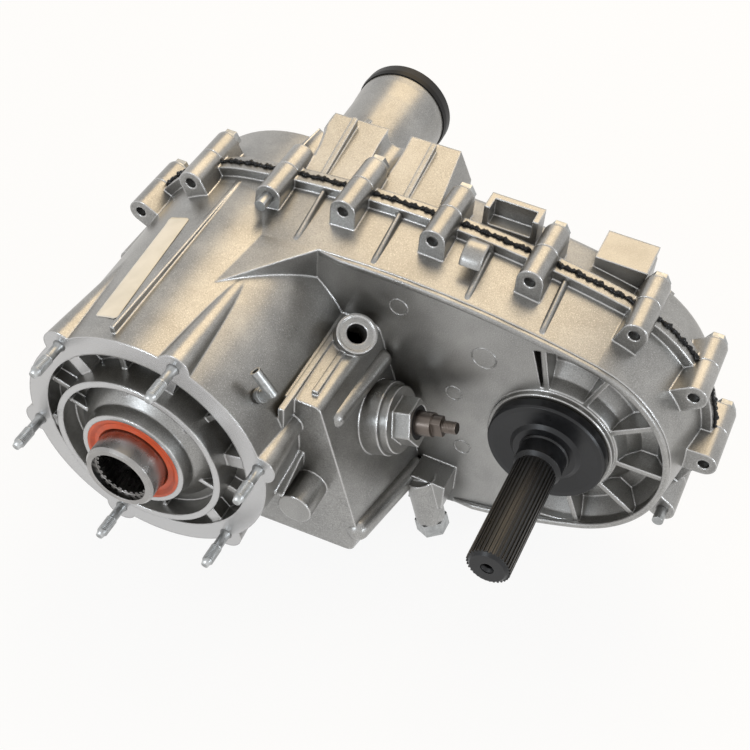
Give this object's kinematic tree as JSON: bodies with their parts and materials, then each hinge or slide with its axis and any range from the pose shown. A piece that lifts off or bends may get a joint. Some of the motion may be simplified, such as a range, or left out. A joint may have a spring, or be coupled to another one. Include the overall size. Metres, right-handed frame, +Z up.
{
  "type": "transfer case",
  "caption": "Part-time two-speed chain-drive transfer case in ribbed cast halves, with a studded front flange, splined front output and tubular tail.",
  "frame": {"origin": "on the main shaft's axis, in the plane of the front mounting flange that its studs stand in", "axes": "+Y rearward along both shafts, +X from the main shaft to the front output shaft, +Z up as the case lies in the picture"},
  "size_m": [0.4589, 0.4622, 0.2558],
  "materials": {
    "cast_aluminium": "as-cast satin",
    "machine_steel": "ground",
    "black_steel": "black phosphate",
    "zinc_steel": "zinc plated",
    "sealant": "glossy black",
    "red_rubber": "satin",
    "black_rubber": "satin",
    "bronze": "sintered",
    "black_plastic": "moulded"
  },
  "bodies": {
    "case": {"front_case": "cast_aluminium", "rear_case": "cast_aluminium", "tail_housing": "cast_aluminium", "seam_sealant": "sealant", "case_bolts": "zinc_steel", "locating_dowels": "zinc_steel", "tail_bolts": "zinc_steel", "mounting_studs": "zinc_steel", "input_seal": "red_rubber", "input_bearing_race": "machine_steel", "input_bearing_balls": "machine_steel", "input_bearing_clip": "machine_steel", "annulus_gear": "machine_steel", "drive_chain": "black_steel", "output_seal": "black_rubber", "output_bearing_race": "machine_steel", "output_bearing_balls": "machine_steel", "output_rear_bearing": "machine_steel", "rear_bearing_race": "machine_steel", "rear_bearing_balls": "machine_steel", "sector_retainer": "cast_aluminium", "sector_seal": "black_rubber", "pump_body": "cast_aluminium", "pickup_tube": "zinc_steel", "sump_magnet": "black_steel", "drain_plug": "zinc_steel", "fill_plug": "zinc_steel", "vent_tube": "zinc_steel", "speed_sensor": "black_plastic", "tail_bush": "bronze", "tail_seal": "black_rubber", "tail_boot": "black_rubber"},
    "input": {"input_gear": "machine_steel", "input_bearing_cone": "machine_steel", "pilot_bearing": "machine_steel"},
    "carrier": {"planet_carrier": "machine_steel", "planet_pins": "machine_steel"},
    "main": {"mainshaft": "machine_steel", "mode_hub": "machine_steel", "pump_rotor": "machine_steel", "rear_bearing_cone": "machine_steel", "rear_bearing_clip": "machine_steel", "speed_wheel": "machine_steel"},
    "range_sleeve": {"range_sleeve": "machine_steel"},
    "mode_sleeve": {"mode_sleeve": "machine_steel"},
    "drive_sprocket": {"drive_sprocket": "machine_steel"},
    "front_output": {"front_output_shaft": "black_steel", "driven_sprocket": "machine_steel", "slinger_disc": "black_steel", "output_bearing_cone": "machine_steel"},
    "selector": {"sector_shaft": "machine_steel", "sector_plate": "machine_steel"},
    "range_fork": {"range_fork": "cast_aluminium"},
    "mode_fork": {"shift_rail": "machine_steel", "mode_fork": "cast_aluminium"},
    "planet_1": {"planet_gear_1": "machine_steel"},
    "planet_2": {"planet_gear_2": "machine_steel"},
    "planet_3": {"planet_gear_3": "machine_steel"},
    "planet_4": {"planet_gear_4": "machine_steel"}
  },
  "joints": [
    {"name": "input_spin", "type": "hinge", "parent": "case", "child": "input", "pos_m": [0, 0, 0], "axis": [0, 1, 0], "continuous": true},
    {"name": "carrier_spin", "type": "hinge", "parent": "case", "child": "carrier", "pos_m": [0, 0.05, 0], "axis": [0, 1, 0], "continuous": true},
    {"name": "main_spin", "type": "hinge", "parent": "case", "child": "main", "pos_m": [0, 0.2, 0], "axis": [0, 1, 0], "continuous": true},
    {"name": "drive_sprocket_spin", "type": "hinge", "parent": "case", "child": "drive_sprocket", "pos_m": [0, 0.175, 0], "axis": [0, 1, 0], "continuous": true},
    {"name": "front_output_spin", "type": "hinge", "parent": "case", "child": "front_output", "pos_m": [0.23813, 0.175, 0], "axis": [0, 1, 0], "continuous": true},
    {"name": "selector_turn", "type": "hinge", "parent": "case", "child": "selector", "pos_m": [0.138, 0.1, -0.004], "axis": [0.9563, 0, 0.2924], "range_deg": [0, 44]},
    {"name": "range_fork_slide", "type": "slide", "parent": "case", "child": "range_fork", "axis": [0, 1, 0], "range_m": [0, 0.016]},
    {"name": "range_sleeve_slide", "type": "slide", "parent": "main", "child": "range_sleeve", "axis": [0, 1, 0], "range_m": [0, 0.016]},
    {"name": "mode_fork_slide", "type": "slide", "parent": "case", "child": "mode_fork", "axis": [0, 1, 0], "range_m": [-0.012, 0]},
    {"name": "mode_sleeve_slide", "type": "slide", "parent": "main", "child": "mode_sleeve", "axis": [0, 1, 0], "range_m": [-0.012, 0]},
    {"name": "planet_1_spin", "type": "hinge", "parent": "carrier", "child": "planet_1", "pos_m": [0.0544, 0.047, 0], "axis": [0, 1, 0], "continuous": true},
    {"name": "planet_2_spin", "type": "hinge", "parent": "carrier", "child": "planet_2", "pos_m": [0, 0.047, 0.0544], "axis": [0, 1, 0], "continuous": true},
    {"name": "planet_3_spin", "type": "hinge", "parent": "carrier", "child": "planet_3", "pos_m": [-0.0544, 0.047, 0], "axis": [0, 1, 0], "continuous": true},
    {"name": "planet_4_spin", "type": "hinge", "parent": "carrier", "child": "planet_4", "pos_m": [0, 0.047, -0.0544], "axis": [0, 1, 0], "continuous": true}
  ],
  "couplings": [
    {"joint": "carrier_spin", "follows": "input_spin", "ratio": 0.36765},
    {"joint": "main_spin", "follows": "input_spin", "ratio": 1},
    {"joint": "drive_sprocket_spin", "follows": "input_spin", "ratio": 1},
    {"joint": "front_output_spin", "follows": "input_spin", "ratio": 1},
    {"joint": "selector_turn", "follows": "range_fork_slide", "rad_per_m": 47.997},
    {"joint": "range_sleeve_slide", "follows": "range_fork_slide", "ratio": 1},
    {"joint": "mode_sleeve_slide", "follows": "mode_fork_slide", "ratio": 1},
    {"joint": "planet_1_spin", "follows": "input_spin", "ratio": -1.7565},
    {"joint": "planet_2_spin", "follows": "input_spin", "ratio": -1.7565},
    {"joint": "planet_3_spin", "follows": "input_spin", "ratio": -1.7565},
    {"joint": "planet_4_spin", "follows": "input_spin", "ratio": -1.7565}
  ]
}
